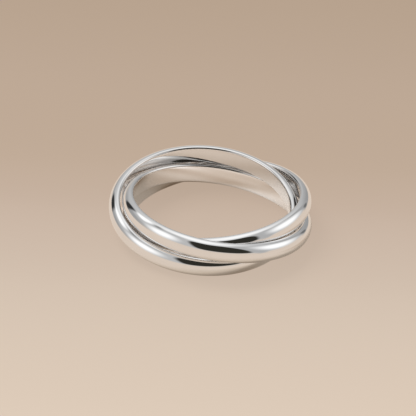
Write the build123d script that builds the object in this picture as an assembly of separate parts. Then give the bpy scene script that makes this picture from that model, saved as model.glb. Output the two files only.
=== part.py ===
from build123d import *
import os
from math import asin, cos, degrees, hypot, radians, sin, sqrt
from typing import NamedTuple

# Trio ring: three equal bands of half-round wire, each one linked through the other two.
# Lengths are in millimetres and angles in degrees. Z is up.
# The origin is the middle of the ring's footprint, on the surface that it lies on.
# The ring lies as it comes to rest by itself: the strands cross like those of a rope that makes
# one full turn round the finger, and each band touches the surface at its own lowest point.

# Wire of a band: flat inside, domed outside, with eased inner edges
band_inside_diameter = 18.9
band_width = 2.25
band_thickness = 1.2
edge_rounding = 0.25

# Room that each band keeps to its neighbours, measured along the finger and away from it
stacking_clearance = 0.06
spreading_clearance = 0.06


class Strand(NamedTuple):
    """How one band lies among the three.

    turn is the way the band is shifted, counted from +X. spread is the shift as a share of the
    wire's thickness with its clearance. lift is the rise of the band's high side above its centre
    as a share of the wire's width with its clearance.
    """

    name: str
    turn: float
    spread: float
    lift: float


strands = [
    Strand(name="left_band", turn=192, spread=0.65, lift=0.655),
    Strand(name="front_band", turn=308, spread=0.72, lift=0.66),
    Strand(name="back_band", turn=60, spread=0.70, lift=0.60),
]

# Sizes that follow from the wire
inside_radius = band_inside_diameter / 2
half_width = band_width / 2
dome_height = band_thickness - edge_rounding
shoulder_radius = inside_radius + edge_rounding
middle_radius = inside_radius + band_thickness / 2
spread_pitch = band_thickness + spreading_clearance
lift_pitch = band_width + stacking_clearance


def tilt(strand):
    """Angle between a band's axis and the upright, which lifts one side by the strand's lift."""
    return degrees(asin(strand.lift * lift_pitch / middle_radius))


def shift(strand):
    """Sideways way from the middle of the three to a band's centre."""
    distance = strand.spread * spread_pitch
    return Vector(distance * cos(radians(strand.turn)), distance * sin(radians(strand.turn)), 0)


def band_axis(strand):
    """Direction of a band's own axis, leaning square to the way the band is shifted."""
    lean = sin(radians(tilt(strand)))
    return Vector(
        -lean * sin(radians(strand.turn)),
        lean * cos(radians(strand.turn)),
        cos(radians(tilt(strand))),
    )


def reach(strand, way):
    """How far a band reaches from its centre in one direction, which is a unit vector."""
    along = abs(band_axis(strand).dot(way))
    across = sqrt(1 - along**2)
    return shoulder_radius * across + hypot(dome_height * across, half_width * along)


def footprint_middle():
    """Middle of the three bands' footprint, seen from the middle of their shifts."""
    middle = []
    for way in (Vector(1, 0, 0), Vector(0, 1, 0)):
        far = max(shift(strand).dot(way) + reach(strand, way) for strand in strands)
        near = min(shift(strand).dot(way) - reach(strand, way) for strand in strands)
        middle.append((far + near) / 2)
    return Vector(middle[0], middle[1], 0)


def band_centre(strand):
    """Centre of a band, as high as lets its lowest point touch the surface."""
    return shift(strand) - footprint_middle() + Vector(0, 0, reach(strand, Vector(0, 0, 1)))


def wire_section():
    """Half-round section of the wire, beside the band's axis."""
    flat_end = half_width - edge_rounding
    with BuildSketch(Plane.XZ) as section:
        with BuildLine():
            EllipticalCenterArc((shoulder_radius, 0), dome_height, half_width, -90, arc_size=180)
            CenterArc((shoulder_radius, flat_end), edge_rounding, 90, 90)
            Line((inside_radius, flat_end), (inside_radius, -flat_end))
            CenterArc((shoulder_radius, -flat_end), edge_rounding, 180, 90)
        make_face()
    return section.sketch


def band(strand):
    """One whole band in its place."""
    ring = revolve(wire_section(), Axis.Z)
    place = Pos(band_centre(strand)) * Rot(Z=strand.turn) * Rot(X=-tilt(strand))
    return place * ring


os.makedirs("parts", exist_ok=True)
for strand in strands:
    export_step(band(strand), f"parts/{strand.name}.step")
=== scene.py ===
"""Trio ring: three linked half-round bands of polished silver, lying in a soft studio.

Lengths are in metres and angles in degrees unless a name says otherwise. Z is up, +X is to the
right and +Y away from the camera, and the ring lies on the plane z = 0.
"""

import logging
from dataclasses import dataclass, field
from enum import Enum
from math import asin, cos, hypot, pi, radians, sin, sqrt

import bpy
from mathutils import Euler, Matrix, Vector


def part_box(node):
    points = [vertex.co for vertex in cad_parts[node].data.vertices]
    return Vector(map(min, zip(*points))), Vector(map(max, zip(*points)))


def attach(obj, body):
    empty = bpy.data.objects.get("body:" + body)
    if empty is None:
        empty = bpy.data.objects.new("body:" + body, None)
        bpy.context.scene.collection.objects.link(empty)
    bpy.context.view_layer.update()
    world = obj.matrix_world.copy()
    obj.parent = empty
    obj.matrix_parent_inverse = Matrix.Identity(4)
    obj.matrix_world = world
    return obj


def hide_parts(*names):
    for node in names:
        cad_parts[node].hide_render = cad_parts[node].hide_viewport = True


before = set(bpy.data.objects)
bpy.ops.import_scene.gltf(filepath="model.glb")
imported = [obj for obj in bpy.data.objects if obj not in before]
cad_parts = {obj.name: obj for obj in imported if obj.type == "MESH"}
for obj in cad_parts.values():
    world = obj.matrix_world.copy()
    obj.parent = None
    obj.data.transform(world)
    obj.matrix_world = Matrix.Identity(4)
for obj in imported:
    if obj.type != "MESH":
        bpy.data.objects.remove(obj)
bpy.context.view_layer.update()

log = logging.getLogger("trio_ring")

MM = 0.001
PHOTO_WIDTH = 416
MIRROR_BOUNCES = 12
PLACE_ATTRIBUTE = "band_place"

# The usual curve of a screen, which is straight near black and a power above that
SCREEN_WHITE = 255
STRAIGHT_END = 0.04045
STRAIGHT_SLOPE = 12.92
CURVE_OFFSET = 0.055
CURVE_POWER = 2.4

# Type of a group's input, by that of its value
SOCKET_TYPES = {float: "NodeSocketFloat", int: "NodeSocketInt", tuple: "NodeSocketVector"}

Colour = tuple[float, float, float, float]
ScreenColour = tuple[float, float, float]
Span = tuple[float, float]
Socket = bpy.types.NodeSocket

WHITE: Colour = (1.0, 1.0, 1.0, 1.0)


def display_colour(red: float, green: float, blue: float) -> Colour:
    """Turn a colour as a screen shows it into light.

    Args:
        red: Red from 0 to 255.
        green: Green from 0 to 255.
        blue: Blue from 0 to 255.

    Returns:
        Scene-linear red, green and blue, and an alpha of 1.
    """

    def channel(value: float) -> float:
        """Undo the curve of a screen for one channel.

        Args:
            value: The channel from 0 to 255.

        Returns:
            Its light from 0 to 1.
        """
        share = value / SCREEN_WHITE
        if share <= STRAIGHT_END:
            return share / STRAIGHT_SLOPE
        return ((share + CURVE_OFFSET) / (1 + CURVE_OFFSET)) ** CURVE_POWER

    return channel(red), channel(green), channel(blue), 1.0


def direction(azimuth: float, elevation: float) -> Vector:
    """Give the unit vector towards a place in the studio.

    Args:
        azimuth: Counted from the camera's side of the ring towards the right.
        elevation: Counted up from the floor.

    Returns:
        The direction, seen from the ring.
    """
    turn, rise = radians(azimuth), radians(elevation)
    return Vector((sin(turn) * cos(rise), -cos(turn) * cos(rise), sin(rise)))


def add_object(name: str, data: bpy.types.ID) -> bpy.types.Object:
    """Make an object of a mesh, a camera or a light and put it in the scene.

    Args:
        name: Name of the object.
        data: What it holds.

    Returns:
        The object, which is at the origin.
    """
    added = bpy.data.objects.new(name, data)
    bpy.context.scene.collection.objects.link(added)
    return added


class Tree:
    """A node tree that is being filled, with short calls for nodes and links."""

    def __init__(self, tree: bpy.types.NodeTree) -> None:
        """Start on an existing tree."""
        self.tree = tree

    @classmethod
    def cleared(cls, owner: bpy.types.Material | bpy.types.World) -> "Tree":
        """Start on the emptied tree of a material or a world.

        Args:
            owner: The material or the world.

        Returns:
            Its tree.
        """
        owner.use_nodes = True
        owner.node_tree.nodes.clear()
        return cls(owner.node_tree)

    @classmethod
    def group(cls, name: str, kind: str, inputs: dict[str, object], outputs: dict[str, str]) -> "Tree":
        """Start a node group with named sockets.

        Args:
            name: Name of the group.
            kind: Type of the tree, such as ShaderNodeTree.
            inputs: Name of each input with its value at the start, or the type of one that has none.
            outputs: Name of each output with its socket type.

        Returns:
            The new tree.
        """
        tree = bpy.data.node_groups.new(name, kind)
        for label, value in inputs.items():
            empty = isinstance(value, str)
            socket_type = value if empty else SOCKET_TYPES[type(value)]
            socket = tree.interface.new_socket(label, in_out="INPUT", socket_type=socket_type)
            if not empty:
                socket.default_value = value
        for label, socket_type in outputs.items():
            tree.interface.new_socket(label, in_out="OUTPUT", socket_type=socket_type)
        return cls(tree)

    def node(self, kind: str, values: dict | None = None, **settings: object) -> bpy.types.Node:
        """Add one node.

        Args:
            kind: Blender's name of the node's type.
            values: Input sockets by name or number, each with a value or the socket that feeds it.
            settings: Properties of the node itself.

        Returns:
            The new node.
        """
        node = self.tree.nodes.new(kind)
        for name, value in settings.items():
            setattr(node, name, value)
        for socket, value in (values or {}).items():
            self.feed(node, socket, value)
        return node

    def feed(self, node: bpy.types.Node, socket: str | int, value: object) -> None:
        """Link a socket or set its value.

        Args:
            node: Node that takes the value.
            socket: Name or number of its input.
            value: An output socket to link, or a plain value.
        """
        target = node.inputs[socket]
        if isinstance(value, bpy.types.NodeSocket):
            self.tree.links.new(value, target)
        else:
            target.default_value = value

    def calc(self, operation: str, *values: object, clamp: bool = False) -> Socket:
        """Add a Math node and give its result.

        Args:
            operation: Blender's name of the operation.
            values: What goes into its inputs, in order.
            clamp: Whether the result is kept from 0 to 1.

        Returns:
            The output socket.
        """
        node = self.node("ShaderNodeMath", dict(enumerate(values)), operation=operation)
        node.use_clamp = clamp
        return node.outputs[0]

    def vector(self, operation: str, *values: object) -> Socket:
        """Add a Vector Math node and give its result.

        Args:
            operation: Blender's name of the operation.
            values: What goes into its inputs, in order.

        Returns:
            The output socket, which is a number for a length or a dot product.
        """
        node = self.node("ShaderNodeVectorMath", dict(enumerate(values)), operation=operation)
        return node.outputs["Value" if operation in ("LENGTH", "DOT_PRODUCT") else "Vector"]

    def scale(self, vector: object, factor: object) -> Socket:
        """Multiply a vector by a number.

        Args:
            vector: The vector or its socket.
            factor: The number or its socket.

        Returns:
            The output socket.
        """
        node = self.node("ShaderNodeVectorMath", {0: vector, "Scale": factor}, operation="SCALE")
        return node.outputs["Vector"]

    def combine(self, *parts: object) -> Socket:
        """Make a vector of up to three numbers or sockets, and of zeros for the rest."""
        return self.node("ShaderNodeCombineXYZ", dict(enumerate(parts))).outputs[0]

    def separate(self, vector: Socket) -> bpy.types.NodeOutputs:
        """Give the sockets of a vector's X, Y and Z."""
        return self.node("ShaderNodeSeparateXYZ", {0: vector}).outputs

    def ramp(self, value: object, low: object, high: object, ends: Span = (0.0, 1.0)) -> Socket:
        """Add a smooth step.

        Args:
            value: What is read.
            low: Where the step starts.
            high: Where the step ends.
            ends: Results before and after the step.

        Returns:
            The output socket.
        """
        step = self.node("ShaderNodeMapRange", {
            "Value": value, "From Min": low, "From Max": high, "To Min": ends[0], "To Max": ends[1],
        }, interpolation_type="SMOOTHSTEP")
        return step.outputs["Result"]

    def fade(self, value: object, low: object, high: object) -> Socket:
        """Add a smooth step that falls from 1 at the low end to 0 at the high end."""
        return self.ramp(value, low, high, ends=(1.0, 0.0))

    def blend(self, share: object, first: object, second: object) -> Socket:
        """Mix two colours.

        Args:
            share: Share of the second colour.
            first: The first colour or its socket.
            second: The second colour or its socket.

        Returns:
            The output socket.
        """
        # A Mix node has a pair of inputs and an output for each type; these are the ones for colours
        return self.node("ShaderNodeMix", {0: share, 6: first, 7: second}, data_type="RGBA").outputs[2]


@dataclass(frozen=True)
class WireSection:
    """Half-round wire of a band: flat inside, domed outside, with eased inner edges."""

    inside_diameter: float = 18.9 * MM
    width: float = 2.25 * MM
    thickness: float = 1.2 * MM
    edge_rounding: float = 0.25 * MM
    stacking_clearance: float = 0.06 * MM
    spreading_clearance: float = 0.06 * MM

    @property
    def inside_radius(self) -> float:
        """Distance from the band's axis to its flat inside."""
        return self.inside_diameter / 2

    @property
    def shoulder_radius(self) -> float:
        """Distance from the band's axis to where the dome starts."""
        return self.inside_radius + self.edge_rounding

    @property
    def dome_height(self) -> float:
        """Height of the dome over its shoulders."""
        return self.thickness - self.edge_rounding

    @property
    def middle_radius(self) -> float:
        """Distance from the band's axis to the middle of the wire."""
        return self.inside_radius + self.thickness / 2

    @property
    def spread_pitch(self) -> float:
        """Thickness of the wire with its clearance."""
        return self.thickness + self.spreading_clearance

    @property
    def lift_pitch(self) -> float:
        """Width of the wire with its clearance."""
        return self.width + self.stacking_clearance


class Lie(Enum):
    """How each band lies: the way it is shifted, and the shares of its shift and of its rise."""

    LEFT = ("left_band", 192.0, 0.65, 0.655)
    FRONT = ("front_band", 308.0, 0.72, 0.66)
    BACK = ("back_band", 60.0, 0.70, 0.60)

    def __init__(self, node: str, turn: float, spread: float, lift: float) -> None:
        """Name the values of one band.

        Args:
            node: Name of the band in the model.
            turn: Way in which the band is shifted, counted from +X.
            spread: Its shift as a share of the wire's thickness with its clearance.
            lift: Rise of its high side as a share of the wire's width with its clearance.
        """
        self.node = node
        self.turn = turn
        self.spread = spread
        self.lift = lift

    def tilt(self, wire: WireSection) -> float:
        """Angle in radians between the band's axis and the upright."""
        return asin(self.lift * wire.lift_pitch / wire.middle_radius)

    def shift(self, wire: WireSection) -> Vector:
        """Sideways way from the middle of the three to the band's centre."""
        turn, distance = radians(self.turn), self.spread * wire.spread_pitch
        return Vector((distance * cos(turn), distance * sin(turn), 0))

    def axis(self, wire: WireSection) -> Vector:
        """Direction of the band's own axis."""
        turn, tilt = radians(self.turn), self.tilt(wire)
        return Vector((-sin(tilt) * sin(turn), sin(tilt) * cos(turn), cos(tilt)))

    def reach(self, wire: WireSection, way: Vector) -> float:
        """Find how far the band reaches from its centre.

        Args:
            wire: The band's wire.
            way: Unit vector of the direction that is asked for.

        Returns:
            The distance.
        """
        along = abs(self.axis(wire).dot(way))
        across = sqrt(1 - along**2)
        beyond = hypot(wire.dome_height * across, wire.width / 2 * along)
        return wire.shoulder_radius * across + beyond

    def centre(self, wire: WireSection) -> Vector:
        """Find the band's centre, with its lowest point on the floor.

        Args:
            wire: The band's wire.

        Returns:
            The centre in the model's frame.
        """
        middle = Vector((0, 0, 0))
        for number, way in enumerate((Vector((1, 0, 0)), Vector((0, 1, 0)))):
            far = max(band.shift(wire).dot(way) + band.reach(wire, way) for band in Lie)
            near = min(band.shift(wire).dot(way) - band.reach(wire, way) for band in Lie)
            middle[number] = (far + near) / 2
        up = Vector((0, 0, 1))
        return self.shift(wire) - middle + up * self.reach(wire, up)


@dataclass
class Effects:
    """Shader groups for marks that a polished metal shows, each one built once.

    The inside fades and the edge ends at shares of the edge rounding, counted from the flat inside.
    The side rises at shares of the half width, and scratches and haze at heights of their noise.
    The climb is how much the way out from the flat inside counts in the place across the band.
    """

    inside_fade: Span = (0.2, 1.1)
    edge_end: float = 2.2
    side_rise: Span = (0.72, 0.98)
    climb: float = 1.3
    scratch_rise: Span = (0.62, 0.72)
    scratch_depth: float = 0.5
    fine_dullness: float = 0.6
    scratch_dullness: float = 0.4
    haze_rise: Span = (0.42, 0.75)
    band_masks: bpy.types.NodeTree = field(init=False)
    polishing_lines: bpy.types.NodeTree = field(init=False)
    handling_marks: bpy.types.NodeTree = field(init=False)

    def __post_init__(self) -> None:
        """Build every group."""
        self.band_masks = self._band_masks()
        self.polishing_lines = self._polishing_lines()
        self.handling_marks = self._handling_marks()

    def _band_masks(self) -> bpy.types.NodeTree:
        """Build the group that tells the inside, the edges and the way round a band apart.

        Returns:
            The group, with masks from 0 to 1 and a place that runs round the band.
        """
        group = Tree.group(
            "Band masks", "ShaderNodeTree",
            {
                "Place": (0, 0, 0),
                "Inside Radius": 0.01,
                "Half Width": 0.001,
                "Edge Rounding": 0.0002,
                "Stretch": 0.02,
            },
            {"Inside": "NodeSocketFloat", "Edge": "NodeSocketFloat", "Round Place": "NodeSocketVector"},
        )
        source = group.node("NodeGroupInput").outputs
        rounding = source["Edge Rounding"]
        parts = group.separate(source["Place"])
        flat = group.combine(parts[0], parts[1])
        depth = group.calc("SUBTRACT", group.vector("LENGTH", flat), source["Inside Radius"])
        inside = group.fade(depth, *(group.calc("MULTIPLY", rounding, end) for end in self.inside_fade))
        side = group.calc("DIVIDE", group.calc("ABSOLUTE", parts[2]), source["Half Width"])
        near_side = group.ramp(side, *self.side_rise)
        near_inside = group.fade(depth, 0.0, group.calc("MULTIPLY", rounding, self.edge_end))
        edge = group.calc("MULTIPLY", near_side, near_inside)
        around = group.separate(group.scale(group.vector("NORMALIZE", flat), source["Stretch"]))
        across = group.calc("MULTIPLY_ADD", depth, self.climb, parts[2])
        place = group.combine(around[0], around[1], across)
        group.node("NodeGroupOutput", {"Inside": inside, "Edge": edge, "Round Place": place})
        return group.tree

    def _polishing_lines(self) -> bpy.types.NodeTree:
        """Build the group for the hairlines that a polishing wheel leaves round a band.

        Returns:
            The group, with the lines' height and how dull they make the metal.
        """
        group = Tree.group(
            "Polishing lines", "ShaderNodeTree",
            {
                "Round Place": (0, 0, 0),
                "Fine": 30000.0,
                "Sparse": 9000.0,
            },
            {"Height": "NodeSocketFloat", "Dull": "NodeSocketFloat"},
        )
        source = group.node("NodeGroupInput").outputs
        fine = self._noise(group, source["Round Place"], source["Fine"], detail=4.0, roughness=0.65)
        sparse = self._noise(group, source["Round Place"], source["Sparse"], detail=2.0, roughness=0.5)
        scratch = group.ramp(sparse, *self.scratch_rise)
        height = group.calc("MULTIPLY_ADD", scratch, -self.scratch_depth, fine)
        dull = group.calc("ADD", group.calc("MULTIPLY", fine, self.fine_dullness),
                          group.calc("MULTIPLY", scratch, self.scratch_dullness), clamp=True)
        group.node("NodeGroupOutput", {"Height": height, "Dull": dull})
        return group.tree

    def _handling_marks(self) -> bpy.types.NodeTree:
        """Build the group for the faint haze and the slow unevenness of a hand-finished surface.

        Returns:
            The group, with a haze mask and a slow height.
        """
        group = Tree.group(
            "Handling marks", "ShaderNodeTree",
            {
                "Place": (0, 0, 0),
                "Haze Scale": 420.0,
                "Wave Scale": 160.0,
            },
            {"Haze": "NodeSocketFloat", "Wave": "NodeSocketFloat"},
        )
        source = group.node("NodeGroupInput").outputs
        haze = self._noise(group, source["Place"], source["Haze Scale"], detail=5.0, roughness=0.6)
        wave = self._noise(group, source["Place"], source["Wave Scale"], detail=1.0, roughness=0.4)
        soft = group.ramp(haze, *self.haze_rise)
        group.node("NodeGroupOutput", {"Haze": soft, "Wave": wave})
        return group.tree

    @staticmethod
    def _noise(group: Tree, place: Socket, scale: Socket, detail: float, roughness: float) -> Socket:
        """Add a noise to a group.

        Args:
            group: The group.
            place: Where the noise is read.
            scale: Its waves in a metre.
            detail: How many finer layers it has.
            roughness: How much the finer layers count.

        Returns:
            The socket of its height, from 0 to 1.
        """
        return group.node("ShaderNodeTexNoise", {
            "Vector": place, "Scale": scale, "Detail": detail, "Roughness": roughness}).outputs["Fac"]


@dataclass(frozen=True)
class PolishedSilver:
    """Mirror-polished sterling silver with a softer inside, whose darker, warmer colour there is painted
    shade.
    """

    colour: Colour = (0.885, 0.885, 0.885, 1.0)
    shade_colour: Colour = (0.83, 0.825, 0.815, 1.0)
    shade_strength: float = 0.35
    # Painted shade: the inside's colour is darker and warmer than the outside's
    inside_painted_shade: Colour = (0.79, 0.765, 0.745, 1.0)
    polish_roughness: float = 0.015
    inside_roughness: float = 0.08
    edge_roughness: float = 0.03
    haze_roughness: float = 0.01
    line_stretch: float = 0.35 * MM
    line_height: float = 0.0005 * MM
    wave_height: float = 0.004 * MM

    def material(self, effects: Effects, wire: WireSection) -> bpy.types.Material:
        """Build the material for bands of one wire.

        Args:
            effects: The shared shader groups.
            wire: The wire, whose sizes set where the inside and the edges are.

        Returns:
            The material.
        """
        material = bpy.data.materials.new("polished_silver")
        tree = Tree.cleared(material)
        place = tree.node("ShaderNodeAttribute", attribute_name=PLACE_ATTRIBUTE).outputs["Vector"]
        masks = tree.node("ShaderNodeGroup", {
            "Place": place, "Inside Radius": wire.inside_radius, "Half Width": wire.width / 2,
            "Edge Rounding": wire.edge_rounding, "Stretch": self.line_stretch,
        }, node_tree=effects.band_masks).outputs
        lines = tree.node("ShaderNodeGroup", {"Round Place": masks["Round Place"]},
                          node_tree=effects.polishing_lines).outputs
        marks = tree.node("ShaderNodeGroup", {"Place": place}, node_tree=effects.handling_marks).outputs
        # Painted shade: the inside takes the darker, warmer colour
        colour = tree.blend(masks["Inside"], self.colour, self.inside_painted_shade)
        shade = tree.calc("MULTIPLY", marks["Haze"], self.shade_strength)
        colour = tree.blend(shade, colour, self.shade_colour)
        roughness = self.polish_roughness
        for mask, added in (
            (masks["Inside"], self.inside_roughness - self.polish_roughness),
            (masks["Edge"], self.edge_roughness - self.polish_roughness),
            (marks["Haze"], self.haze_roughness),
            (lines["Dull"], self.haze_roughness),
        ):
            roughness = tree.calc("MULTIPLY_ADD", mask, added, roughness)
        line_bump = tree.node("ShaderNodeBump", {
            "Strength": 1.0, "Distance": self.line_height, "Height": lines["Height"]})
        wave_bump = tree.node("ShaderNodeBump", {
            "Strength": 1.0, "Distance": self.wave_height, "Height": marks["Wave"],
            "Normal": line_bump.outputs["Normal"]})
        shader = tree.node("ShaderNodeBsdfPrincipled", {
            "Base Color": colour, "Roughness": roughness, "Metallic": 1.0,
            "Normal": wave_bump.outputs["Normal"]})
        tree.node("ShaderNodeOutputMaterial", {"Surface": shader.outputs["BSDF"]})
        return material


@dataclass
class BandMaker:
    """Makes one band from its wire by sweeping the section round a circle."""

    wire: WireSection
    steps_round: int = 420
    dome_steps: int = 44
    edge_steps: int = 9
    land_steps: int = 10
    weld_distance: float = 0.001 * MM
    tree: bpy.types.NodeTree = field(init=False)

    def __post_init__(self) -> None:
        """Build the geometry tree that all bands use."""
        self.tree = self._sweep_tree()

    def _sweep_tree(self) -> bpy.types.NodeTree:
        """Build the tree that sweeps the half-round section and lays the band in its place.

        Returns:
            The geometry tree, with named inputs for the wire and for how the band lies.
        """
        group = Tree.group(
            "Half-round band", "GeometryNodeTree",
            {
                "Geometry": "NodeSocketGeometry",
                "Inside Radius": 0.01,
                "Width": 0.002,
                "Thickness": 0.001,
                "Edge Rounding": 0.0002,
                "Lean": "NodeSocketRotation",
                "Centre": (0, 0, 0),
                "Steps Round": 96,
                "Dome Steps": 16,
                "Edge Steps": 4,
                "Land Steps": 4,
                "Finish": "NodeSocketMaterial",
            },
            {"Geometry": "NodeSocketGeometry"},
        )
        source = group.node("NodeGroupInput").outputs
        section = group.node("GeometryNodeJoinGeometry")
        for run in reversed(self._section_runs(group, source)):
            group.feed(section, 0, run)
        shoulder = group.calc("ADD", source["Inside Radius"], source["Edge Rounding"])
        circle = group.node("GeometryNodeCurvePrimitiveCircle", {
            "Resolution": source["Steps Round"], "Radius": shoulder})
        upright = group.node("GeometryNodeSetCurveNormal", {"Curve": circle.outputs["Curve"]}, mode="Z_UP")
        swept = group.node("GeometryNodeCurveToMesh", {
            "Curve": upright.outputs["Curve"], "Profile Curve": section.outputs["Geometry"]})
        closed = group.node("GeometryNodeMergeByDistance", {
            "Geometry": swept.outputs["Mesh"], "Distance": self.weld_distance})
        position = group.node("GeometryNodeInputPosition")
        marked = group.node("GeometryNodeStoreNamedAttribute", {
            "Geometry": closed.outputs["Geometry"], "Name": PLACE_ATTRIBUTE,
            "Value": position.outputs["Position"]}, data_type="FLOAT_VECTOR", domain="POINT")
        smooth = group.node("GeometryNodeSetShadeSmooth", {"Geometry": marked.outputs["Geometry"]})
        laid = group.node("GeometryNodeTransform", {
            "Geometry": smooth.outputs["Geometry"], "Translation": source["Centre"],
            "Rotation": source["Lean"]})
        real = group.node("GeometryNodeRealizeInstances", {"Geometry": laid.outputs["Geometry"]})
        finished = group.node("GeometryNodeSetMaterial", {
            "Geometry": real.outputs["Geometry"], "Material": source["Finish"]})
        group.node("NodeGroupOutput", {"Geometry": finished.outputs["Geometry"]})
        return group.tree

    @staticmethod
    def _section_runs(group: Tree, source: bpy.types.NodeOutputs) -> list[Socket]:
        """Draw the wire's section, with the middle between its two shoulders as the origin.

        Args:
            group: The geometry tree.
            source: The tree's named inputs.

        Returns:
            The curves of the dome, of both inner edges and of the flat inside.
        """
        rounding = source["Edge Rounding"]
        half_width = group.calc("DIVIDE", source["Width"], 2.0)
        dome_height = group.calc("SUBTRACT", source["Thickness"], rounding)
        flat_end = group.calc("SUBTRACT", half_width, rounding)
        other_end = group.calc("MULTIPLY", flat_end, -1.0)
        inwards = group.calc("MULTIPLY", rounding, -1.0)
        half_circle = group.node("GeometryNodeCurveArc", {
            "Resolution": source["Dome Steps"], "Radius": 1.0,
            "Start Angle": -pi / 2, "Sweep Angle": pi})
        dome = group.node("GeometryNodeTransform", {
            "Geometry": half_circle.outputs["Curve"],
            "Scale": group.combine(dome_height, half_width, 1.0)})
        runs = [dome.outputs["Geometry"]]
        for start, middle in ((pi / 2, flat_end), (pi, other_end)):
            corner = group.node("GeometryNodeCurveArc", {
                "Resolution": source["Edge Steps"], "Radius": rounding,
                "Start Angle": start, "Sweep Angle": pi / 2})
            moved = group.node("GeometryNodeTransform", {
                "Geometry": corner.outputs["Curve"], "Translation": group.combine(0.0, middle)})
            runs.append(moved.outputs["Geometry"])
        land = group.node("GeometryNodeCurvePrimitiveLine", {
            "Start": group.combine(inwards, flat_end), "End": group.combine(inwards, other_end)})
        land_points = group.node("GeometryNodeResampleCurve", {
            "Curve": land.outputs["Curve"], "Count": source["Land Steps"]})
        runs.append(land_points.outputs["Curve"])
        return runs

    def _sizes(self, band: Lie, finish: bpy.types.Material) -> dict[str, object]:
        """Gather the tree's inputs for one band.

        Args:
            band: How the band lies.
            finish: Its material.

        Returns:
            The value of each named input.
        """
        return {
            "Inside Radius": self.wire.inside_radius,
            "Width": self.wire.width,
            "Thickness": self.wire.thickness,
            "Edge Rounding": self.wire.edge_rounding,
            "Lean": Euler((-band.tilt(self.wire), 0, radians(band.turn))),
            "Centre": band.centre(self.wire),
            "Steps Round": self.steps_round,
            "Dome Steps": self.dome_steps,
            "Edge Steps": self.edge_steps,
            "Land Steps": self.land_steps,
            "Finish": finish,
        }

    def make(self, band: Lie, finish: bpy.types.Material) -> bpy.types.Object:
        """Make one band as a plain mesh in its place.

        Args:
            band: How the band lies.
            finish: Its material.

        Returns:
            The finished object, which sits at the origin.
        """
        name = f"{band.node}_polished"
        carrier = add_object(f"{name}_sweep", bpy.data.meshes.new(f"{name}_sweep"))
        sweep = carrier.modifiers.new("Half-round band", "NODES")
        sweep.node_group = self.tree
        sockets = {item.name: item for item in self.tree.interface.items_tree if item.in_out == "INPUT"}
        for label, value in self._sizes(band, finish).items():
            sweep[sockets[label].identifier] = value
        evaluated = carrier.evaluated_get(bpy.context.evaluated_depsgraph_get())
        mesh = bpy.data.meshes.new_from_object(evaluated)
        mesh.name = name
        bpy.data.objects.remove(carrier)
        return add_object(name, mesh)


@dataclass
class TrioRing:
    """The three linked bands."""

    wire: WireSection = WireSection()
    silver: PolishedSilver = PolishedSilver()
    slot: str = "polished_silver"
    box_tolerance: float = 0.02 * MM

    def build(self, effects: Effects) -> list[bpy.types.Object]:
        """Make and dress all three bands.

        Args:
            effects: The shared shader groups.

        Returns:
            The bands.
        """
        finish = self.silver.material(effects, self.wire)
        maker = BandMaker(self.wire)
        return [self._dress(maker.make(band, finish), band) for band in Lie]

    def _dress(self, piece: bpy.types.Object, band: Lie) -> bpy.types.Object:
        """Let a band stand for its node and ride on its body.

        Args:
            piece: The band's mesh object.
            band: How the band lies.

        Returns:
            The same object.
        """
        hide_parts(band.node)
        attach(piece, band.node)
        low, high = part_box(band.node)
        off = 0.0
        for axis in range(3):
            places = [vertex.co[axis] for vertex in piece.data.vertices]
            off = max(off, abs(min(places) - low[axis]), abs(max(places) - high[axis]))
        if off > self.box_tolerance:
            raise ValueError(f"{piece.name} is off its node by {off / MM:.3f} mm")
        faces = len(piece.data.polygons)
        log.info("%s: %d faces, within %.4f mm of its node", piece.name, faces, off / MM)
        return piece


class Corner(Enum):
    """How square a panel of light looks: the exponent of its outline."""

    PILLOW = 1.5
    ROUND = 2.0
    SOFT = 2.6
    SQUARE = 8.0


@dataclass(frozen=True)
class Panel:
    """One panel round the ring, seen from it: where it is, how large, and how bright on screen.

    The lean shifts it sideways and the flare widens it, both for each degree above its middle.
    The warmth is how far its blue stays under its red on screen.
    """

    name: str
    azimuth: float
    elevation: float
    half_width: float
    half_height: float
    softness: float
    corner: Corner
    level: float
    lean: float = 0.0
    flare: float = 0.0
    warmth: float = 0.0


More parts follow.
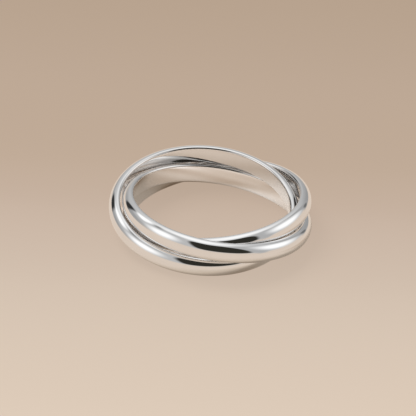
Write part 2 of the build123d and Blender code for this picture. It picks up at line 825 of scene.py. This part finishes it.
@dataclass
class Studio:
    """Soft panels of light and shade all round the ring.

    Their brightness is what the metal shows on screen, so it is divided by the metal's reflectance.
    """

    horizon: float = 10.0
    horizon_softness: float = 6.0
    low_sky: float = 183.0
    high_sky: float = 232.0
    rise_start: float = 63.0
    rise_end: float = 90.0
    floor_tone: ScreenColour = (212, 198, 185)
    backdrop: ScreenColour = (186, 165, 146)
    panels: tuple[Panel, ...] = (
        Panel(name="overhead light", azimuth=180, elevation=96, half_width=76, half_height=50,
              softness=0.45, corner=Corner.PILLOW, level=250),
        Panel(name="high right shade", azimuth=90, elevation=63.5, half_width=30, half_height=5.5,
              softness=0.70, corner=Corner.SOFT, level=174),
        Panel(name="far right shade", azimuth=121, elevation=55.5, half_width=13, half_height=5,
              softness=0.80, corner=Corner.ROUND, level=182),
        Panel(name="upper left shade", azimuth=-121, elevation=57, half_width=19, half_height=5.5,
              softness=0.70, corner=Corner.ROUND, level=138, lean=0.15),
        Panel(name="left grey wall", azimuth=-127, elevation=9, half_width=38, half_height=12,
              softness=0.60, corner=Corner.ROUND, level=154),
        Panel(name="left key light", azimuth=-69, elevation=34, half_width=22, half_height=21,
              softness=0.66, corner=Corner.ROUND, level=257, lean=-0.1),
        Panel(name="high left shade", azimuth=-70, elevation=66.5, half_width=30, half_height=6,
              softness=0.80, corner=Corner.SOFT, level=180),
        Panel(name="left back light", azimuth=-128, elevation=44.5, half_width=18, half_height=10.5,
              softness=0.50, corner=Corner.SOFT, level=257, lean=-0.5),
        Panel(name="left dark strip", azimuth=-135, elevation=16, half_width=8, half_height=17,
              softness=0.40, corner=Corner.SOFT, level=48, lean=-0.15),
        Panel(name="black panel", azimuth=13, elevation=42.5, half_width=41.5, half_height=31.5,
              softness=0.12, corner=Corner.SQUARE, level=45, lean=-0.08, flare=0.24, warmth=6),
        Panel(name="right grey wall", azimuth=63, elevation=33, half_width=11, half_height=33,
              softness=0.40, corner=Corner.ROUND, level=172, lean=0.15),
        Panel(name="right key light", azimuth=100, elevation=33.5, half_width=26, half_height=19,
              softness=0.60, corner=Corner.ROUND, level=257),
        Panel(name="back grey wall", azimuth=158, elevation=14, half_width=24, half_height=15,
              softness=0.45, corner=Corner.ROUND, level=164),
        Panel(name="back low shade", azimuth=150, elevation=8, half_width=13, half_height=12,
              softness=0.60, corner=Corner.ROUND, level=150),
        Panel(name="right grey strip", azimuth=139, elevation=26, half_width=7.5, half_height=27,
              softness=0.45, corner=Corner.SOFT, level=159, lean=0.25),
        Panel(name="right dark spot", azimuth=136, elevation=11, half_width=4.5, half_height=8,
              softness=0.50, corner=Corner.ROUND, level=108, lean=0.2),
    )
    reflectance: float = 0.88
    green_share: float = 0.25

    def build_world(self) -> None:
        """Build the world: what the metal mirrors, and a plain backdrop for the camera."""
        world = bpy.data.worlds.new("Studio")
        bpy.context.scene.world = world
        tree = Tree.cleared(world)
        mirrored = tree.node("ShaderNodeBackground", {
            "Color": self._mirrored_colour(tree), "Strength": 1.0})
        plain = tree.node("ShaderNodeBackground", {
            "Color": display_colour(*self.backdrop), "Strength": 1.0})
        seen = tree.node("ShaderNodeLightPath").outputs["Is Camera Ray"]
        mixed = tree.node("ShaderNodeMixShader", {0: seen, 1: mirrored.outputs[0], 2: plain.outputs[0]})
        tree.node("ShaderNodeOutputWorld", {"Surface": mixed.outputs[0]})
        log.info("studio: %d panels", len(self.panels))

    def _mirrored_colour(self, tree: Tree) -> Socket:
        """Lay the panels over the sky and the floor's tone.

        Args:
            tree: The world's tree.

        Returns:
            The socket of the light that comes from each direction.
        """
        parts = tree.separate(tree.node("ShaderNodeTexCoord").outputs["Generated"])
        elevation = tree.calc("DEGREES", tree.calc("ARCSINE", parts[2]))
        towards = tree.calc("MULTIPLY", parts[1], -1.0)
        azimuth = tree.calc("DEGREES", tree.calc("ARCTAN2", parts[0], towards))
        sky = tree.blend(tree.ramp(elevation, self.rise_start, self.rise_end),
                         self._grey(self.low_sky), self._grey(self.high_sky))
        above = tree.ramp(elevation, self.horizon - self.horizon_softness,
                          self.horizon + self.horizon_softness)
        colour = tree.blend(above, self._lit(display_colour(*self.floor_tone)), sky)
        group = self._panel_group()
        for panel in self.panels:
            mask = tree.node("ShaderNodeGroup", {
                "Azimuth": azimuth, "Elevation": elevation,
                "Middle Azimuth": panel.azimuth, "Middle Elevation": panel.elevation,
                "Half Width": panel.half_width, "Half Height": panel.half_height,
                "Softness": panel.softness, "Corner": panel.corner.value,
                "Lean": panel.lean, "Flare": panel.flare,
            }, node_tree=group, label=panel.name).outputs["Mask"]
            colour = tree.blend(mask, colour, self._grey(panel.level, panel.warmth))
        return colour

    def _lit(self, colour: Colour) -> Colour:
        """Raise a colour so that the metal shows it as given."""
        return tuple(channel / self.reflectance for channel in colour[:3]) + (1.0,)

    def _grey(self, level: float, warmth: float = 0.0) -> Colour:
        """Give the light that the metal shows as a grey of this level and warmth."""
        return self._lit(display_colour(level, level - warmth * self.green_share, level - warmth))

    def _panel_group(self) -> bpy.types.NodeTree:
        """Build the group that tells how far a direction is inside one panel.

        Returns:
            The group, with a soft mask.
        """
        group = Tree.group(
            "Soft panel", "ShaderNodeTree",
            {
                "Azimuth": 0.0,
                "Elevation": 0.0,
                "Middle Azimuth": 0.0,
                "Middle Elevation": 45.0,
                "Half Width": 10.0,
                "Half Height": 10.0,
                "Softness": 0.5,
                "Corner": 2.0,
                "Lean": 0.0,
                "Flare": 0.0,
            },
            {"Mask": "NodeSocketFloat"},
        )
        source = group.node("NodeGroupInput").outputs
        above = group.calc("SUBTRACT", source["Elevation"], source["Middle Elevation"])
        aside = group.calc("SUBTRACT", source["Azimuth"], source["Middle Azimuth"])
        aside = group.calc("SUBTRACT", aside, group.calc("MULTIPLY", above, source["Lean"]))
        aside = group.calc("WRAP", aside, 180.0, -180.0)
        half_width = group.calc("MULTIPLY_ADD", above, source["Flare"], source["Half Width"])
        powers = []
        for way, size in ((aside, half_width), (above, source["Half Height"])):
            share = group.calc("DIVIDE", group.calc("ABSOLUTE", way), size)
            powers.append(group.calc("POWER", share, source["Corner"]))
        total = group.calc("ADD", powers[0], powers[1])
        reach = group.calc("POWER", total, group.calc("DIVIDE", 1.0, source["Corner"]))
        mask = group.fade(reach, group.calc("SUBTRACT", 1.0, source["Softness"]),
                          group.calc("ADD", 1.0, source["Softness"]))
        group.node("NodeGroupOutput", {"Mask": mask})
        return group.tree


@dataclass(frozen=True)
class Pool:
    """A soft pool of painted light or shade on the floor: its middle, its reach and how strong it is."""

    name: str
    middle: Span
    reach: Span
    strength: float


@dataclass
class Floor:
    """Plain pale floor that glows with painted light, its tone falling off away from the camera, with
    faint shadows on it.

    Each tone is the place along Y that it belongs to and the colour as a screen shows it. The glow
    is the share of the tone that the floor gives by itself, as painted light, and light is what falls
    on the rest.
    The metal mirrors a painted floor of its own: the even mirrored_tone, with painted pools of
    light and shade that stand for what the bands throw on it. Those of pools end at the bands, and
    those of outer_pools lie outside. Outside the bands the mirrored floor has outer_glow, a painted
    light that fills its shade, on the left. That fades to the right over outer_fade, which lies
    further right by outer_slant for each step outwards.
    """

    size: float = 1.2
    # Painted light: the floor's glowing tone, darker away from the camera
    tones: tuple[tuple[float, ScreenColour], ...] = (
        (-60 * MM, (224, 207, 189)),
        (-36 * MM, (221, 203, 185)),
        (-13 * MM, (211, 193, 176)),
        (3 * MM, (200, 180, 163)),
        (14 * MM, (192, 171, 152)),
        (36 * MM, (188, 167, 148)),
        (60 * MM, (182, 161, 141)),
    )
    # Painted reflection: the even tone that the metal sees in the floor
    mirrored_tone: ScreenColour = (226, 210, 195)
    glow: float = 0.9
    # Painted light: the mirrored floor's own glow, which fills the ring's shade in reflections
    mirrored_glow: float = 0.36
    outer_glow: float = 0.76
    outer_reach: Span = (10.0 * MM, 11.2 * MM)
    outer_fade: Span = (-1.0 * MM, 6.0 * MM)
    outer_slant: float = 4.2
    light: float = 1.71
    inside_reach: Span = (8.8 * MM, 10.6 * MM)
    inside_strength: float = 0.17
    # Tint of the painted pools, for red, green and blue
    painted_pool_tint: tuple[float, float, float] = (1.0, 1.24, 1.5)
    # Painted shade colour: the mirrored floor's glow is warmer, so its shade looks warmer
    shade_tint: tuple[float, float, float] = (1.0, 0.97, 0.90)
    roughness: float = 0.9
    grain_scale: float = 900.0
    grain_detail: float = 4.0
    grain_share: float = 0.1
    grain_colour: Colour = (0.02, 0.016, 0.013, 1.0)
    # Painted pools of light and shade, seen only in the metal
    pools: tuple[Pool, ...] = (
        Pool(name="light before the back wall", middle=(4.0 * MM, 6.7 * MM),
             reach=(6.0 * MM, 1.8 * MM), strength=0.30),
        Pool(name="shade behind the middle", middle=(0.2 * MM, 5.0 * MM),
             reach=(3.2 * MM, 2.5 * MM), strength=-0.80),
        Pool(name="shade under the back left", middle=(-4.7 * MM, 8.4 * MM),
             reach=(4.0 * MM, 1.1 * MM), strength=-0.88),
        Pool(name="bright spot of the front band", middle=(2.0 * MM, 3.7 * MM),
             reach=(1.1 * MM, 1.2 * MM), strength=0.77),
        Pool(name="bright spot of the left band", middle=(-0.4 * MM, 4.8 * MM),
             reach=(1.3 * MM, 1.7 * MM), strength=0.60),
    )
    outer_pools: tuple[Pool, ...] = (
        Pool(name="shade beside the right", middle=(14.3 * MM, -3.0 * MM),
             reach=(1.8 * MM, 5.5 * MM), strength=-0.21),
        Pool(name="shade under the front", middle=(1.0 * MM, -9.2 * MM),
             reach=(4.0 * MM, 1.0 * MM), strength=-0.42),
    )

    def build(self) -> bpy.types.Object:
        """Make the floor.

        Returns:
            The floor.
        """
        half = self.size / 2
        corners = [(-half, -half, 0), (half, -half, 0), (half, half, 0), (-half, half, 0)]
        mesh = bpy.data.meshes.new("floor")
        mesh.from_pydata(corners, [], [(0, 1, 2, 3)])
        mesh.materials.append(self._paper())
        floor = add_object("floor", mesh)
        return floor

    def _paper(self) -> bpy.types.Material:
        """Build the matt paper of the floor.

        Returns:
            The material.
        """
        material = bpy.data.materials.new("floor_paper")
        tree = Tree.cleared(material)
        place = tree.node("ShaderNodeTexCoord").outputs["Object"]
        mirrored = tree.node("ShaderNodeLightPath").outputs["Is Glossy Ray"]
        # Painted reflection: glossy rays see the mirrored tone with its painted pools, the camera the
        # graded tone
        painted_pool_tone = tree.vector("MULTIPLY", display_colour(*self.mirrored_tone)[:3],
                             self._painted_pool_light(tree, place))
        tone = tree.blend(mirrored, self._seen_tone(tree, place), painted_pool_tone)
        # Painted light: the floor glows with most of its tone by itself
        glow = tree.node("ShaderNodeMapRange", {
            "Value": mirrored, "To Min": self.glow, "To Max": self._mirrored_glow(tree, place)})
        # Painted shade colour, seen only in reflections
        tint = tree.blend(mirrored, WHITE, (*self.shade_tint, 1.0))
        own = tree.scale(tint, glow.outputs["Result"])
        rest = tree.vector("SUBTRACT", WHITE[:3], own)
        lit = tree.scale(tree.vector("MULTIPLY", tone, rest), 1 / self.light)
        grain = tree.node("ShaderNodeTexNoise", {
            "Vector": place, "Scale": self.grain_scale, "Detail": self.grain_detail})
        speckle = tree.calc("MULTIPLY", grain.outputs["Fac"], self.grain_share)
        shader = tree.node("ShaderNodeBsdfPrincipled", {
            "Base Color": tree.blend(speckle, lit, self.grain_colour),
            "Roughness": self.roughness, "Specular IOR Level": 0.0,
            "Emission Color": tree.vector("MULTIPLY", tone, own), "Emission Strength": 1.0})
        tree.node("ShaderNodeOutputMaterial", {"Surface": shader.outputs["BSDF"]})
        return material

    def _seen_tone(self, tree: Tree, place: Socket) -> Socket:
        """Give the floor its tone along Y as the camera sees it, painted light that falls off away from
        the camera.

        Args:
            tree: The paper's tree.
            place: Socket of the place on the floor.

        Returns:
            The socket of the tone.
        """
        near, far = self.tones[0][0], self.tones[-1][0]
        share = tree.node("ShaderNodeMapRange", {
            "Value": tree.separate(place)[1], "From Min": near, "From Max": far})
        fall = tree.node("ShaderNodeValToRGB", {"Fac": share.outputs["Result"]})
        fall.color_ramp.interpolation = "CARDINAL"
        stops = fall.color_ramp.elements
        for spot, _ in self.tones[1:-1]:
            stops.new((spot - near) / (far - near))
        for stop, (_, tone) in zip(stops, self.tones):
            stop.color = display_colour(*tone)
        return fall.outputs["Color"]

    def _mirrored_glow(self, tree: Tree, place: Socket) -> Socket:
        """Tell how much of its tone the mirrored floor keeps in the shade of the ring, as a painted glow
        of its own.

        Args:
            tree: The paper's tree.
            place: Socket of the place on the floor.

        Returns:
            The socket of the share, which is larger outside the ring on the side of the light.
        """
        away = tree.vector("LENGTH", place)
        beyond = tree.calc("SUBTRACT", away, self.outer_reach[1])
        right = tree.separate(place)[0]
        aside = tree.calc("MULTIPLY_ADD", beyond, -self.outer_slant, right)
        outside = tree.calc("MULTIPLY", tree.ramp(away, *self.outer_reach),
                            tree.fade(aside, *self.outer_fade))
        added = self.outer_glow - self.mirrored_glow
        return tree.calc("MULTIPLY_ADD", outside, added, self.mirrored_glow)

    def _painted_pool_light(self, tree: Tree, place: Socket) -> Socket:
        """Give the painted light and shade that stand for what the bands throw on the floor near them.

        Args:
            tree: The paper's tree.
            place: Socket of the place on the floor.

        Returns:
            The socket of the factors for red, green and blue, which are 1 far from the ring.
        """
        near = tree.fade(tree.vector("LENGTH", place), *self.inside_reach)
        inside = self._pool_sum(tree, place, self.pools, self.inside_strength)
        total = self._pool_sum(tree, place, self.outer_pools, tree.calc("MULTIPLY", inside, near))
        tinted = [tree.calc("MULTIPLY", total, tint) for tint in self.painted_pool_tint]
        return tree.combine(*(tree.calc("EXPONENT", power) for power in tinted))

    @staticmethod
    def _pool_sum(tree: Tree, place: Socket, pools: tuple[Pool, ...], start: object) -> Socket:
        """Add the strengths of some pools at a place.

        Args:
            tree: The paper's tree.
            place: Socket of the place on the floor.
            pools: The pools.
            start: What they are added to.

        Returns:
            The socket of the sum.
        """
        total = start
        for pool in pools:
            aside = tree.vector("SUBTRACT", place, (*pool.middle, 0.0))
            share = tree.vector("DIVIDE", aside, (*pool.reach, 1.0))
            square = tree.vector("DOT_PRODUCT", share, share)
            mask = tree.calc("EXPONENT", tree.calc("MULTIPLY", square, -1.0))
            total = tree.calc("MULTIPLY_ADD", mask, pool.strength, total)
        return total


@dataclass
class PhotoCamera:
    """Camera at the photograph's angle: its place, its roll and its scale at the ring."""

    elevation: float = 31.18
    roll: float = 2.3
    distance: float = 343.6 * MM
    pixels_per_mm: float = 8.989
    target: tuple[float, float, float] = (0, 0, 2.5 * MM)
    target_pixel: Span = (210.5, 209.0)
    sensor: float = 36.0
    clip: Span = (0.01, 10.0)

    def build(self) -> bpy.types.Object:
        """Make the camera and use it for the scene.

        Returns:
            The camera.
        """
        rise, roll = radians(self.elevation), radians(self.roll)
        ahead = Vector((0, cos(rise), -sin(rise)))
        level = Vector((1, 0, 0))
        upright = level.cross(ahead)
        right = level * cos(roll) + upright * sin(roll)
        up = upright * cos(roll) - level * sin(roll)
        pixel = MM / self.pixels_per_mm
        middle = PHOTO_WIDTH / 2
        aim = (Vector(self.target) + right * (middle - self.target_pixel[0]) * pixel
               + up * (self.target_pixel[1] - middle) * pixel)
        data = bpy.data.cameras.new("photo_camera")
        data.sensor_width = self.sensor
        data.lens = self.pixels_per_mm * self.distance / MM * self.sensor / PHOTO_WIDTH
        data.clip_start, data.clip_end = self.clip
        camera = add_object("photo_camera", data)
        turn = Matrix((right, up, -ahead)).transposed().to_4x4()
        camera.matrix_world = Matrix.Translation(aim - ahead * self.distance) @ turn
        bpy.context.scene.camera = camera
        log.info("camera: %.1f mm lens", data.lens)
        return camera


@dataclass
class SoftLight:
    """One large soft light over the floor, which the metal doesn't mirror."""

    azimuth: float = -125.0
    elevation: float = 56.0
    distance: float = 0.6
    size: float = 0.35
    power: float = 6.0

    def build(self) -> bpy.types.Object:
        """Make the light.

        Returns:
            The light.
        """
        data = bpy.data.lights.new("soft_light", "AREA")
        data.size = self.size
        data.energy = self.power
        light = add_object("soft_light", data)
        way = direction(self.azimuth, self.elevation)
        light.location = way * self.distance
        light.rotation_euler = way.to_track_quat("Z", "Y").to_euler()
        light.visible_glossy = False
        return light


def main() -> None:
    """Build the ring and its studio in order."""
    logging.basicConfig(level=logging.INFO, format="%(name)s: %(message)s")
    scene = bpy.context.scene
    scene.view_settings.view_transform = "Standard"
    scene.view_settings.look = "None"
    scene.cycles.glossy_bounces = MIRROR_BOUNCES
    effects = Effects()
    bands = TrioRing().build(effects)
    Studio().build_world()
    Floor().build()
    SoftLight().build()
    PhotoCamera().build()
    log.info("ring: %d bands", len(bands))


if __name__ == "__main__":
    main()
